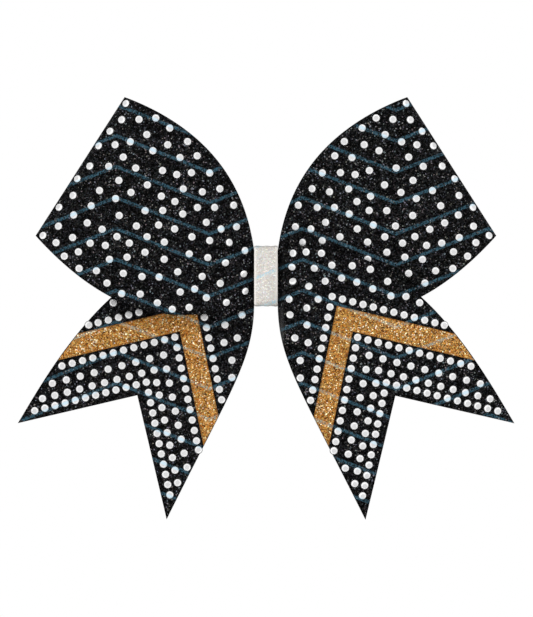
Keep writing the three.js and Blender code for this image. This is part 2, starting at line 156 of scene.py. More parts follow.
# Knot: outer outline as (y, z) over the top from the middle of its back, and its length round.
KNOT_UPPER = (
    (1.7, 0), (1.7, 5.8), (0.6, 9.6), (-2.2, 13.0), (-5, 13.5),
    (-9.5, 13.5), (-12, 12), (-12.9, 7.5), (-13, 0),
)
KNOT_ROUND = 78.0

# Layers of the knot strip, as depths under its glitter face.
KNOT_FACE_T = 0.5
KNOT_LINER_FROM = 0.52
KNOT_LINER_TO = 1.0

# Swell of the knot's front, the share of a turn that laps over, and the lap's rise over a range
# of turns. The raised hem climbs and falls over ranges of the half width.
KNOT_DOME = 1.5
KNOT_OVERLAP = 0.1
KNOT_LAP_RISE = 1.8
KNOT_LAP_RAMP = (0.9, 0.99)
KNOT_HEM = 0.18
KNOT_HEM_CLIMB = (0.72, 0.82)
KNOT_HEM_FALL = (0.93, 1.0)

# Lengthwise creases in the knot strip, softer on its front, and the painted shade along the fold
# where the strip turns over at the top and bottom of the front.
KNOT_RIPPLE = 0.1
KNOT_RIPPLE_RATE = 9
KNOT_RIPPLE_PHASE = 1.0
KNOT_RIPPLE_EASE = 0.6
KNOT_CREASE_Y = -10.7
KNOT_CREASE_W = 0.35
KNOT_CREASE_FROM_Z = 11
KNOT_CREASE_SHADE_SHARE = 0.85

# Rhinestones: girdle and table radii, heights, and a thin rim round each, near black as painted
# shade round the stone's foot. The foot is the slightly smaller bottom of the glass, CROWN_BREAK
# the share of the crown's height at which its facets change slope, and STONE_SUNK how far the rim
# goes under the panel's face. Each kind of facet has a tone, painted reflection of how it catches
# the light, which single facets stray from.
STONE_R = 1.62
TABLE_R = 1.04
STONE_H = 1.25
GIRDLE_H = 0.4
FOOT_H = 0.14
FOOT_INSET = 0.05
CROWN_BREAK = 0.72
SHADE_RIM = 0.28
SHADE_RIM_H = 0.1
STONE_SUNK = 0.05
STONE_SIDES = 8
FACET_TONES = {
    # the rim's tone: painted shade round the stone
    "glue": 0,
    # the facets' tones: painted reflection of how each kind catches the light
    "girdle": 0.85,
    "upper_left": 0.9,
    "upper_right": 1.0,
    "kite": 0.95,
    "star": 0.8,
    "table": 0.5,
}
TONE_SPREAD = (0.93, 1.04)

# Scattered stones: how many, out of how many random places, how far apart at first, how fast that
# shrinks, and how far from the outline and the knot.
LOOP_STONES = 96
TAIL_STONES = 27
CANDIDATES = 5000
STONE_SPACING = 7.6
SPACING_STEP = 0.97
EDGE_MARGIN = 2.1
KNOT_MARGIN = 3.2
# Ranges of u and v on a loop, the two stones at the corners of its fold, the corners of a box of
# (x, z) on a tail, and the seeds of the places and of the stones' turns.
LOOP_U = (0.05, 0.49)
LOOP_V = (0.02, 0.98)
CORNER_U = 0.45
CORNER_VS = (0.035, 0.965)
LOOSE_LOW = (6, -60)
LOOSE_HIGH = (80, 14)
LOOP_SEED = 7
TAIL_SEED = 3
LOOP_TURN_SEED = 21
TAIL_TURN_SEED = 22

# Rows of stones beside the chevron. A stone at a row's end is pushed back by up to ROW_SLACK to
# stay on the tail, and is left out if its centre is still within a share of its radius from the
# edge. Loose stones keep ROW_CLEARANCE off the first row.
ROW_ARM_DEGS = (-14.3, -101.8)
ROW_SLACK = 1.25
ROW_END_SHARE = 0.75
ROW_CLEARANCE = 5.0
# A stone is kept if its centre is less than this share of its radius under the panel over it.
SHOWN_UNDER = 0.15
# Each row: its corner, the stones along each arm, and their pitch.
STONE_ROWS = (
    ((29.8, -9.3), (11, 10), 4.76),
    ((41.2, -27.6), (11, 11), 4.79),
    ((46.3, -35.7), (8, 8), 6.48),
    ((50.6, -42.5), (9, 9), 5.78),
    ((54.1, -48.0), (11, 11), 4.73),
)

# Zigzag pinstripe: period, height of a line's peak over its trough, pitch of the lines, a peak.
ZIGZAG_PERIOD = 84.0
ZIGZAG_RISE = 16.4
ZIGZAG_PITCH = 13.95
ZIGZAG_PEAK = (16.5, 7.4)
ZIGZAG_WIDTH = 1.5
# Shares of a line's half width between which it fades out.
ZIGZAG_FADE = (0.6, 1.3)

# Torsion spring: wire and coil radii, turns, and half its width on the pin. Leg points are x from
# the hinge with y in the row frame on the fixed leg, and both from the hinge on the lever's.
WIRE_R = 0.35
WIRE_SIDES = 12
COIL_R = 1.95
COIL_TURNS = 2.5
COIL_STEPS = 100
COIL_HALF_W = 1.6
FIXED_LEG = ((9, 0.6), (6, 0.75), (3, 1.0))
LEVER_LEG = ((2, 2.2), (4, 2.95), (7.5, 4.6))

# Clip lining: the run over which its ends round off, and how blunt they are.
LINING_ROUND = 3.0
LINING_BLUNT = 0.02

# Camera, in metres: what it frames on the plane through the bow's front. The sensor is in mm.
VIEW_HEIGHT = 0.2781
VIEW_CENTRE = (0.00025, -0.014, -0.01465)
CAMERA_DISTANCE = 2.6
SENSOR_W = 36
NEAREST = 0.1
FURTHEST = 50

# Studio, in metres and watts: each light's name, place, diameter and power, and the round floor.
LIGHTS = (("key", (-1.0, -1.6, 1.4), 0.9, 12), ("fill", (1.4, -1.4, 0.4), 1.2, 5))
FLOOR_R = 0.7
FLOOR_Z = -0.2
FLOOR_SIDES = 96


# ------------------------------------------------------------------ numbers

def smooth(x, start, end):
    """A smooth step from 0 at `start` to 1 at `end`."""
    t = np.clip((np.asarray(x, float) - start) / (end - start), 0, 1)
    return t * t * (3 - 2 * t)


def bezier(points, t):
    """The point at each t on a cubic Bezier curve; coordinates are on the last axis."""
    t = np.asarray(t, float)[..., None]
    a, b, c, d = (np.array(p, float) for p in points)
    return (1 - t) ** 3 * a + 3 * (1 - t) ** 2 * t * b + 3 * (1 - t) * t ** 2 * c + t ** 3 * d


def grid(u_steps, v_steps):
    """u and v at the points of a grid, each from 0 to 1."""
    return np.meshgrid(
        np.linspace(0, 1, u_steps + 1), np.linspace(0, 1, v_steps + 1), indexing="ij"
    )


# ------------------------------------------------------------------ panels

def from_knot(u, hidden, both_ends):
    """Share of the run outside the knot; -1 to 0 is inside it, over `hidden` of u at each end."""
    last = 1 - hidden if both_ends else 1
    run = (u - hidden) / (last - hidden)
    run = np.where(u < hidden, (u - hidden) / hidden, run)
    return np.where(u > last, 1 + (u - last) / hidden, run)


def panel_xz(top, bottom, s, inside, v):
    """(x, z) on a right-hand panel: share s along it, or `inside` mm into the knot."""
    x = KNOT_HALF_W - inside
    drawn = smooth(x, BOUND_HALF_W, KNOT_HALF_W)
    half = BOUND_HALF_H + (BESIDE_KNOT_H - BOUND_HALF_H) * drawn
    s = np.clip(s, 0, 1)
    outside = bezier(bottom, s) * (1 - v)[..., None] + bezier(top, s) * v[..., None]
    within = np.stack([x, half * (2 * v - 1)], -1)
    return np.where((inside > 0)[..., None], within, outside)


def pleats(x, z):
    """How far the front panels stand forward or back in the folds that leave the knot."""
    r = np.hypot(x, z)
    strength = smooth(np.abs(x), KNOT_HALF_W, PLEAT_FULL_X) * (1 - smooth(r, *PLEAT_FADE))
    return PLEAT_DEPTH * strength * np.cos(PLEATS_PER_RADIAN * np.arctan2(z, np.abs(x)))


def loop_side_view(u, v):
    """(along, y) of a loop's glitter face, with how far each point is inside the knot."""
    turn = 2 * from_knot(u, LOOP_HIDDEN, True)
    turn = np.where(turn < 0, turn / 2, np.where(turn > 2, 1 + turn / 2, turn))
    front = u < 0.5
    out = np.where(front, turn, 2 - turn)
    level = np.where(front, LOOP_FRONT_Y, LOOP_BACK_Y)
    face = np.where(
        front[..., None],
        bezier(LOOP_FRONT, np.clip(turn, 0, 1)),
        bezier(LOOP_REAR, np.clip(turn - 1, 0, 1)),
    )
    along = face[..., 0]
    chord = level + (FOLD_Y - level) * along / LOOP_LENGTH
    arched = EDGE_SWELL + (1 - EDGE_SWELL) * np.sin(math.pi * v)
    swell = arched + (1 - arched) * smooth(along, EVEN_FROM, LOOP_LENGTH)
    y = chord + (face[..., 1] - chord) * swell
    inside = np.clip(-out, 0, 1) * IN_KNOT
    return np.where(out < 0, -inside, along), np.where(out < 0, level, y), inside


def loop_surface(side, u, v, depth):
    """Points of a loop, `depth` under its glitter face."""
    along, y, inside = loop_side_view(u, v)
    step = 1e-4
    ahead = loop_side_view(np.minimum(u + step, 1), v)
    behind = loop_side_view(np.maximum(u - step, 0), v)
    run = np.stack([ahead[0] - behind[0], ahead[1] - behind[1]], -1)
    run /= np.linalg.norm(run, axis=-1, keepdims=True)
    s = (along - run[..., 1] * depth) / LOOP_LENGTH
    xz = panel_xz(LOOP_TOP, LOOP_BOTTOM, s, inside, v)
    forward = np.where(u < 0.5, pleats(xz[..., 0], xz[..., 1]), 0)
    return np.stack([side * xz[..., 0], y + run[..., 0] * depth + forward, xz[..., 1]], -1)


def sway(side, x, z):
    """Slow waves across the free part of a tail, and the curl of its two points."""
    r = np.hypot(x, z)
    phase = r / SWAY_LENGTH + side * SWAY_SLANT * np.arctan2(z, x)
    return SWAY * smooth(r, *SWAY_RISE) * np.sin(phase) + CURL * smooth(r, CURL_FROM, TAIL_REACH)


def tail_depth(side, x, z):
    """y of a tail's glitter face: the left one lies flat, the right one arches over its loop."""
    r = np.hypot(x, z)
    if side < 0:
        lift = LEFT_TAIL_LIFT * smooth(r, LEFT_TAIL_FREE, TAIL_REACH)
        return LEFT_TAIL_Y - lift + sway(side, x, z)
    lift = np.sin(math.pi * np.minimum(1, r / TAIL_REACH) ** LIFT_SKEW)
    flare = smooth(x, KNOT_HALF_W, KNOT_HALF_W + FLARE_RUN)
    return RIGHT_TAIL_Y - RIGHT_TAIL_LIFT * lift * flare + pleats(x, z) + sway(side, x, z)


def tail_xz(u, v):
    """(x, z) on the right tail, its end drawn to the straight cuts of the swallowtail."""
    s = from_knot(u, TAIL_HIDDEN, False)
    share = 1 - NOTCH_SHARE * (1 - np.abs(2 * v - 1))
    none = np.zeros_like(u)
    inside = np.clip(-s, 0, 1) * IN_KNOT
    run = np.clip(s, 0, 1)
    xz = panel_xz(TAIL_TOP, TAIL_BOTTOM, run * share, inside, v)
    end = panel_xz(TAIL_TOP, TAIL_BOTTOM, share, none, v)
    tip = np.where((v < 0.5)[..., None], TAIL_BOTTOM[3], TAIL_TOP[3])
    reach = np.abs(2 * v - 1)[..., None]
    cut = np.array(TAIL_NOTCH) * (1 - reach) + tip * reach
    return xz + (cut - end) * (run ** 3)[..., None]


def on_tail(side, xz, depth):
    """Points of a tail, `depth` behind its glitter face, over (x, z) on the right tail."""
    x, z = xz[..., 0], xz[..., 1]
    return np.stack([side * x, tail_depth(side, x, z) + depth, z], -1)


# ------------------------------------------------------------------ meshes

def mesh_object(name, points, faces, values=None, sharp_deg=40):
    """A smooth shaded object. Values are float attributes, each a domain and its data."""
    mesh = bpy.data.meshes.new(name)
    mesh.from_pydata((np.asarray(points) * MM).tolist(), [], faces)
    mesh.polygons.foreach_set("use_smooth", [True] * len(mesh.polygons))
    mesh.set_sharp_from_angle(angle=math.radians(sharp_deg))
    for label, (domain, data) in (values or {}).items():
        attribute = mesh.attributes.new(label, "FLOAT", domain)
        attribute.data.foreach_set("value", np.asarray(data, np.float32).ravel())
    mesh.update()
    made = bpy.data.objects.new(name, mesh)
    bpy.context.scene.collection.objects.link(made)
    return made


def shell(name, outer, inner, values):
    """A closed thin piece between two matching grids of points. Values are given per grid point."""
    rows, columns = outer.shape[:2]
    a, b = np.arange(2 * rows * columns).reshape(2, rows, columns)

    def quads(p, q, r, s):
        return np.stack([p, q, r, s], -1).reshape(-1, 4).tolist()

    faces = quads(a[:-1, :-1], a[1:, :-1], a[1:, 1:], a[:-1, 1:])
    faces += quads(b[:-1, :-1], b[:-1, 1:], b[1:, 1:], b[1:, :-1])
    faces += quads(a[:-1, 0], b[:-1, 0], b[1:, 0], a[1:, 0])
    faces += quads(a[:-1, -1], a[1:, -1], b[1:, -1], b[:-1, -1])
    faces += quads(a[0, :-1], a[0, 1:], b[0, 1:], b[0, :-1])
    faces += quads(a[-1, :-1], b[-1, :-1], b[-1, 1:], a[-1, 1:])
    points = np.concatenate([outer.reshape(-1, 3), inner.reshape(-1, 3)])
    doubled = {k: ("POINT", np.concatenate([np.ravel(w), np.ravel(w)])) for k, w in values.items()}
    if volume(points, faces) < 0:
        faces = [face[::-1] for face in faces]
    return mesh_object(name, points, faces, doubled)


def volume(points, faces):
    """Signed volume inside closed quads: above 0 where they face outwards."""
    q = np.array(faces)
    p = [points[q[:, k]] for k in range(4)]
    first = np.einsum("ij,ij->i", p[0], np.cross(p[1], p[2]))
    second = np.einsum("ij,ij->i", p[0], np.cross(p[2], p[3]))
    return (first + second).sum() / 6


def tube(name, path, radius, sides):
    """A capped tube of constant radius along a list of points."""
    around = 2 * math.pi * np.arange(sides) / sides
    path = np.asarray(path, float)
    along = np.gradient(path, axis=0)
    along /= np.linalg.norm(along, axis=1, keepdims=True)
    across = np.cross(along[0], (0.3, 0.5, 0.8))
    rings = []
    for point, forward in zip(path, along):
        across = across - forward * across.dot(forward)
        across /= np.linalg.norm(across)
        up = np.cross(forward, across)
        spokes = np.outer(np.cos(around), across) + np.outer(np.sin(around), up)
        rings.append(point + radius * spokes)
    last = (len(path) - 1) * sides
    faces = [list(range(sides))[::-1], list(range(last, last + sides))]
    for near in range(0, last, sides):
        far = near + sides
        for k in range(sides):
            after = (k + 1) % sides
            faces.append([near + k, near + after, far + after, far + k])
    return mesh_object(name, np.concatenate(rings), faces)


def closed_spline(points, shares):
    """The points at given shares of the way round a closed centripetal Catmull-Rom curve."""
    span_steps = 40
    points = np.asarray(points, float)
    total = len(points)
    dense = []
    for i in range(total):
        p = [points[(i + k) % total] for k in (-1, 0, 1, 2)]
        knots = np.cumsum([0] + [math.sqrt(np.linalg.norm(p[k + 1] - p[k])) for k in range(3)])
        t = np.linspace(knots[1], knots[2], span_steps, endpoint=False)[:, None]

        def blend(a, b, first, last):
            return ((knots[last] - t) * a + (t - knots[first]) * b) / (knots[last] - knots[first])

        a1, a2, a3 = (blend(p[k], p[k + 1], k, k + 1) for k in range(3))
        b1, b2 = blend(a1, a2, 0, 2), blend(a2, a3, 1, 3)
        dense.append(blend(b1, b2, 1, 2))
    dense = np.concatenate(dense)
    closed = np.vstack([dense, dense[:1]])
    length = np.concatenate([[0], np.cumsum(np.linalg.norm(np.diff(closed, axis=0), axis=1))])
    wanted = np.asarray(shares) * length[-1]
    return np.stack([np.interp(wanted, length, closed[:, k]) for k in (0, 1)], -1)


# ------------------------------------------------------------------ materials

class Look:
    """A node material. Values given to its nodes are numbers, or other nodes' outputs to link."""

    def __init__(self, name):
        self.material = bpy.data.materials.new(name)
        self.material.use_nodes = True
        self.tree = self.material.node_tree
        self.surface = self.tree.nodes["Principled BSDF"]

    def put(self, socket, value):
        if isinstance(value, bpy.types.NodeSocket):
            self.tree.links.new(value, socket)
        else:
            socket.default_value = value

    def node(self, kind, inputs=(), **settings):
        made = self.tree.nodes.new("ShaderNode" + kind)
        for key, value in settings.items():
            setattr(made, key, value)
        for key, value in dict(inputs).items():
            self.put(made.inputs[key], value)
        return made

    def math(self, operation, *values):
        return self.node("Math", enumerate(values), operation=operation).outputs[0]

    def vector(self, operation, *values):
        return self.node("VectorMath", enumerate(values), operation=operation).outputs[0]

    def scaled(self, vector, factor):
        made = self.node("VectorMath", {0: vector, "Scale": factor}, operation="SCALE")
        return made.outputs[0]

    def spread(self, value, low, high, to_low=0.0, to_high=1.0):
        inputs = {"Value": value, "From Min": low, "From Max": high}
        inputs.update({"To Min": to_low, "To Max": to_high})
        return self.node("MapRange", inputs, interpolation_type="SMOOTHSTEP").outputs[0]

    def mix(self, factor, first, second):
        made = self.node("Mix", {0: factor, 6: first, 7: second}, data_type="RGBA")
        return made.outputs[2]

    def ramp(self, factor, stops):
        made = self.node("ValToRGB", {"Fac": factor})
        elements = made.color_ramp.elements
        while len(elements) < len(stops):
            elements.new(0.5)
        for element, (position, colour) in zip(elements, stops):
            element.position = position
            element.color = (*colour, 1)
        return made.outputs["Color"]

    def place(self):
        return self.node("TexCoord").outputs["Object"]

    def attribute(self, name):
        return self.node("Attribute", attribute_name=name).outputs["Fac"]

    def noise(self, size_mm, detail=2.0):
        inputs = {"Vector": self.place(), "Scale": 1 / (size_mm * MM), "Detail": detail}
        return self.node("TexNoise", inputs).outputs[0]

    def bump(self, height, distance_mm, strength=1.0):
        inputs = {"Height": height, "Distance": distance_mm * MM, "Strength": strength}
        return self.node("Bump", inputs).outputs["Normal"]

    def finish(self, **inputs):
        for key, value in inputs.items():
            self.put(self.surface.inputs[key.replace("_", " ")], value)
        return self.material


def grey(level):
    return (level, level, level)


# How far the share of bright flakes drifts from patch to patch, and the size of a patch in mm.
CLUMPING = 0.25
CLUMP_SIZE = 5.0

# How much of a pinstripe's share shows on the flakes that take it most and least, the share of a
# hem's width that is solid, and how far a flake's roughness strays.
STRIPE_MOST = 1.85
STRIPE_LEAST = 0.15
HEM_SOLID = 0.3
ROUGHNESS_SPREAD = 0.1

# Painted shade along the fold where the knot strip turns over, and the pinstripe on a stone with
# how much of it shows.
CREASE_SHADE_COLOUR = (0.06, 0.06, 0.065)
STONE_STRIPE = (0.5, 0.7, 0.82)
STONE_STRIPE_SHARE = 0.7

# Pitch in mm of a ribbon's ribs, and the distances from its edge over which the woven selvedge
# gives way to them.
RIB_PITCH = 1.3
SELVEDGE = (0.9, 1.3)

# Repeats per metre, by axis, of the rolling lines and of the scratches in plated metal.
ROLLING = (50, 800, 1300)
SCRATCHES = (1400, 1400, 250)

# Stops of the colour ramps: a position from dark to bright, and a linear colour.
BLACK_TONES = (
    (0.0, grey(0.0004)),
    (0.45, grey(0.0025)),
    (0.85, (0.0145, 0.0145, 0.0155)),
    (0.95, (0.037, 0.037, 0.04)),
    (1.0, (0.17, 0.17, 0.18)),
)
GOLD_TONES = (
    (0.0, (0.05, 0.015, 0.002)),
    (0.2, (0.16, 0.055, 0.006)),
    (0.4, (0.46, 0.16, 0.015)),
    (0.52, (0.2, 0.15, 0.06)),
    (0.72, (0.48, 0.2, 0.03)),
    (0.92, (0.58, 0.34, 0.1)),
    (1.0, (1.0, 0.88, 0.62)),
)
WHITE_TONES = (
    (0.0, (0.47, 0.44, 0.41)),
    (0.4, (0.56, 0.54, 0.5)),
    (0.8, (0.61, 0.59, 0.55)),
    (1.0, (0.86, 0.84, 0.8)),
)
# The two darkest stops colour the rim round each stone, painted shade; the brighter ones are the
# facets' painted reflection.
CRYSTAL_TONES = (
    (0.0, grey(0.002)),
    (0.15, grey(0.002)),
    (0.3, (0.42, 0.42, 0.425)),
    (0.7, (0.66, 0.66, 0.665)),
    (1.0, (0.98, 0.98, 0.98)),
)


def zigzag(look):
    """1 on the pinstripes and 0 between them."""
    split = look.node("SeparateXYZ", {0: look.place()})
    x, z = split.outputs["X"], split.outputs["Z"]
    period, pitch = ZIGZAG_PERIOD * MM, ZIGZAG_PITCH * MM
    slope = 2 * ZIGZAG_RISE / ZIGZAG_PERIOD
    turns = look.math("MULTIPLY_ADD", x, 1 / period, 0.5 - ZIGZAG_PEAK[0] * MM / period)
    from_peak = look.math("ABSOLUTE", look.math("SUBTRACT", look.math("FRACT", turns), 0.5))
    height = look.math("MULTIPLY_ADD", from_peak, slope * period, z)
    lines = look.math("MULTIPLY_ADD", height, 1 / pitch, -ZIGZAG_PEAK[1] * MM / pitch)
    middle = look.math("ABSOLUTE", look.math("SUBTRACT", look.math("FRACT", lines), 0.5))
    off_line = look.math("MULTIPLY_ADD", middle, -ZIGZAG_PITCH, ZIGZAG_PITCH / 2)
    half = ZIGZAG_WIDTH / 2 * math.hypot(1, slope)
    solid, clear = (share * half for share in ZIGZAG_FADE)
    return look.spread(off_line, solid, clear, 1.0, 0.0)


def glitter(name, flake_mm, tones, tint, stripe, metallic, roughness, tilt, gloss, hem):
    """Flakes in cells, each with its own tone, tint and lean. Over them go the pinstripes, which
    take unevenly from flake to flake, the hem, and painted shade along the fold where the knot
    strip turns over.
    `stripe` is a colour and the share of it that shows, `hem` a colour, a width in mm and a share.
    """
    look = Look(name)
    cells = look.node("TexVoronoi", {"Vector": look.place(), "Scale": 1 / (flake_mm * MM)})
    colour = cells.outputs["Color"]
    channels = look.node("SeparateColor", {0: colour}).outputs
    red, green, blue = channels["Red"], channels["Green"], channels["Blue"]
    clump = look.math("MULTIPLY_ADD", look.noise(CLUMP_SIZE), CLUMPING, -CLUMPING / 2)
    tone = look.ramp(look.math("ADD", red, clump), tones)
    hue = look.node("CombineXYZ", {0: green, 1: blue, 2: look.math("SUBTRACT", 1.0, green)})
    hue = look.vector("ADD", look.scaled(hue.outputs[0], tint), grey(1 - tint / 2))
    tone = look.vector("MULTIPLY", tone, hue)
    stripe_colour, stripe_share = stripe
    stripes = look.math("MULTIPLY", zigzag(look), look.attribute("front"))
    most, least = STRIPE_MOST * stripe_share, STRIPE_LEAST * stripe_share
    covered = look.spread(green, 0.15, 0.85, most, least)
    tone = look.mix(look.math("MULTIPLY", stripes, covered), tone, (*stripe_colour, 1))
    hem_colour, hem_width, hem_share = hem
    solid = HEM_SOLID * hem_width
    hemmed = look.spread(look.attribute("edge"), solid, hem_width, hem_share, 0.0)
    tone = look.mix(hemmed, tone, (*hem_colour, 1))
    # Painted shade: the knot strip darkens along the fold where it turns over.
    tone = look.mix(look.attribute("crease_shade"), tone, (*CREASE_SHADE_COLOUR, 1))
    lean = look.scaled(look.vector("SUBTRACT", colour, grey(0.5)), tilt)
    normal = look.node("NewGeometry").outputs["Normal"]
    leaning = look.vector("NORMALIZE", look.vector("ADD", normal, lean))
    dull, shiny = roughness + ROUGHNESS_SPREAD, roughness - ROUGHNESS_SPREAD
    return look.finish(
        Base_Color=tone,
        Metallic=metallic,
        Roughness=look.spread(red, 0.0, 1.0, dull, shiny),
        Specular_IOR_Level=gloss,
        Normal=leaning,
    )


def grosgrain(name, colour):
    """Corded ribs across the ribbon, lighter and darker in colour along each rib as painted shade,
    with a thread grain, bond marks and a closer woven selvedge.
    """
    look = Look(name)
    wave = look.math("MULTIPLY", look.attribute("along"), 2 * math.pi / RIB_PITCH)
    rib = look.math("MULTIPLY_ADD", look.math("SINE", wave), 0.5, 0.5)
    grain = look.noise(0.35, 3.0)
    marks = look.noise(9.0)
    edge = look.attribute("edge")
    selvedge = look.spread(edge, *SELVEDGE, 1.0, 0.0)
    rib = look.math("MULTIPLY", rib, look.spread(edge, *SELVEDGE, 0.4, 1.0))
    height = look.math("MULTIPLY_ADD", grain, 0.25, rib)
    # The colour follows the ribs as painted shade; the grain and bond marks add the ribbon's own
    # tone.
    shade = look.math("MULTIPLY_ADD", rib, 0.6, look.math("MULTIPLY", grain, 0.2))
    shade = look.math("ADD", shade, look.spread(marks, 0.35, 0.65, 0.0, 0.25))
    dark = tuple(0.2 * c for c in colour)
    light = tuple(min(1, 2.8 * c) for c in colour)
    tone = look.ramp(shade, ((0.1, dark), (1.0, light)))
    return look.finish(
        Base_Color=look.mix(look.math("MULTIPLY", selvedge, 0.5), tone, (*colour, 1)),
        Roughness=look.spread(grain, 0.2, 0.8, 0.55, 0.85),
        Specular_IOR_Level=0.08,
        Sheen_Weight=0.01,
        Normal=look.bump(height, 0.4),
    )


def plated_metal(name, colour, roughness):
    """Rolled and plated metal: fine lines along the clip, a few deeper scratches, dull patches."""
    look = Look(name)
    lines = look.vector("MULTIPLY", look.place(), ROLLING)
    rolled = look.node("TexNoise", {"Vector": lines, "Scale": 1.0, "Detail": 6.0}).outputs[0]
    across = look.vector("MULTIPLY", look.place(), SCRATCHES)
    nicks = look.node("TexNoise", {"Vector": across, "Scale": 1.0, "Detail": 2.0}).outputs[0]
    nicked = look.spread(nicks, 0.62, 0.72)
    dull = look.noise(4.0)
    dark = tuple(0.66 * c for c in colour)
    shade = look.math("SUBTRACT", rolled, look.math("MULTIPLY", nicked, 0.1))
    return look.finish(
        Base_Color=look.ramp(shade, ((0.35, dark), (0.62, colour))),
        Metallic=1.0,
        Roughness=look.spread(dull, 0.3, 0.7, roughness, roughness + 0.15),
        Normal=look.bump(shade, 0.01, 0.7),
    )


def crystal():
    """Foil-backed cut glass: a bright crown round a cooler table, each facet its own tone, painted
    reflection of how the facet catches the light.
    """
    look = Look("rhinestone")
    facet = look.attribute("facet")
    bright = look.spread(facet, 0.2, 0.4)
    stripes = look.math("MULTIPLY", zigzag(look), bright)
    stripes = look.math("MULTIPLY", stripes, STONE_STRIPE_SHARE)
    sheen = look.noise(1.1, 1.0)
    # Tone by facet: painted reflection of the crown and table catching light.
    tone = look.ramp(look.math("MULTIPLY_ADD", sheen, 0.08, facet), CRYSTAL_TONES)
    return look.finish(
        Base_Color=look.mix(stripes, tone, (*STONE_STRIPE, 1)),
        Metallic=0.0,
        Roughness=look.spread(facet, 0.4, 1.0, 0.2, 0.08),
    )


def waxed_thread():
    look = Look("waxed_thread")
    twist = look.noise(0.5)
    return look.finish(
        Base_Color=look.ramp(twist, ((0.3, grey(0.006)), (0.7, grey(0.03)))),
        Roughness=look.spread(twist, 0.3, 0.7, 0.45, 0.7),
        Normal=look.bump(twist, 0.1),
    )


def set_glue():
    look = Look("set_glue")
    lumps = look.noise(2.5)
    return look.finish(
        Base_Color=look.ramp(lumps, ((0.3, (0.62, 0.57, 0.42)), (0.7, (0.82, 0.78, 0.64)))),
        Roughness=look.spread(lumps, 0.3, 0.7, 0.25, 0.45),
        Subsurface_Weight=0.3,
        Subsurface_Radius=(0.002, 0.0015, 0.001),
        Normal=look.bump(lumps, 0.3),
    )


def studio_floor():
    look = Look("studio_floor")
    cloud = look.noise(160.0)
    return look.finish(
        Base_Color=look.ramp(cloud, ((0.3, grey(0.95)), (0.7, grey(0.97)))), Roughness=0.9
    )


black_glitter = glitter(
    "black_glitter", flake_mm=0.5, tones=BLACK_TONES, tint=0.3,
    stripe=((0.066, 0.172, 0.24), 0.25), metallic=0.1, roughness=0.45, tilt=0.5, gloss=0.008,
    hem=(grey(0.002), 0.7, 0.55),
)
gold_glitter = glitter(
    "gold_glitter", flake_mm=0.46, tones=GOLD_TONES, tint=0.3,
    stripe=((0.34, 0.42, 0.38), 0.31), metallic=0.5, roughness=0.4, tilt=0.6, gloss=0.2,
    hem=((0.16, 0.06, 0.01), 0.7, 0.55),
)
white_glitter = glitter(
    "white_glitter", flake_mm=0.45, tones=WHITE_TONES, tint=0.16,
    stripe=((0.38, 0.56, 0.64), 0.52), metallic=0.0, roughness=0.5, tilt=0.3, gloss=0.2,
    hem=((0.92, 0.88, 0.83), 1.3, 0.75),
)
black_grosgrain = grosgrain("black_grosgrain", (0.014, 0.014, 0.0155))
white_grosgrain = grosgrain("white_grosgrain", (0.34, 0.327, 0.306))
nickel = plated_metal("nickel", (0.55, 0.55, 0.535), 0.16)
spring_wire = plated_metal("spring_wire", (0.3, 0.3, 0.31), 0.3)
rhinestone = crystal()


def dress(piece, material, slot, *nodes):
    """Gives a fixed piece its material, and puts it in place of CAD nodes. The slot is not used."""
    piece.data.materials.clear()
    piece.data.materials.append(material)
    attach(piece, "bow")
    if nodes:
        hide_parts(*nodes)
    return piece


# ------------------------------------------------------------------ ribbons

def make_loop(word, side):
    u, v = grid(*LOOP_GRID)
    along, _, _ = loop_side_view(u, v)
    width = GATHERED_W + (RIBBON_W - GATHERED_W) * np.clip(along, 0, LOOP_LENGTH) / LOOP_LENGTH
    edge = np.minimum(v, 1 - v) * width
    face_on = (u < 0.5).astype(float)
    length = np.where(u < 0.5, along, 2 * LOOP_LENGTH - along)
    face = shell(
        f"loop_{word}_face",
        loop_surface(side, u, v, 0.0),
        loop_surface(side, u, v, FACE_T),
        {"edge": edge, "front": face_on},
    )
    backing = shell(
        f"loop_{word}_backing",
        loop_surface(side, u, v, BACKING_FROM),
        loop_surface(side, u, v, BACKING_TO),
        {"along": length, "edge": edge},
    )
    dress(face, black_glitter, "black_glitter", f"loop_{word}_glitter")
    dress(backing, black_grosgrain, "black_ribbon", f"loop_{word}_ribbon")


def make_tail(word, side):
    u, v = grid(*TAIL_GRID)
    xz = tail_xz(u, v)
    width = GATHERED_W + (RIBBON_W - GATHERED_W) * smooth(u, 0, 1)
    edge = np.minimum(np.minimum(v, 1 - v) * width, (1 - u) * TAIL_RUN)
    face = shell(
        f"tail_{word}_face",
        on_tail(side, xz, 0.0),
        on_tail(side, xz, FACE_T),
        {"edge": edge, "front": np.ones_like(u)},
    )
    backing = shell(
        f"tail_{word}_backing",
        on_tail(side, xz, BACKING_FROM),
        on_tail(side, xz, BACKING_TO),
        {"along": np.linalg.norm(xz, axis=-1), "edge": edge},
    )
    dress(face, black_glitter, "black_glitter", f"tail_{word}_glitter")
    dress(backing, black_grosgrain, "black_ribbon", f"tail_{word}_ribbon")


def arm_end(edge, corner, degrees):
    """Where a chevron arm from a corner stops, just short of one of the tail's edge curves."""
    angle = math.radians(degrees)
    along = np.array((math.cos(angle), math.sin(angle)))
    beyond_knot = np.linspace(0.1, 1, 2000)
    curve = bezier(edge, beyond_knot)
    away = (curve - corner) @ (-along[1], along[0])
    return curve[np.argmin(np.abs(away))] - along * CHEVRON_MARGIN


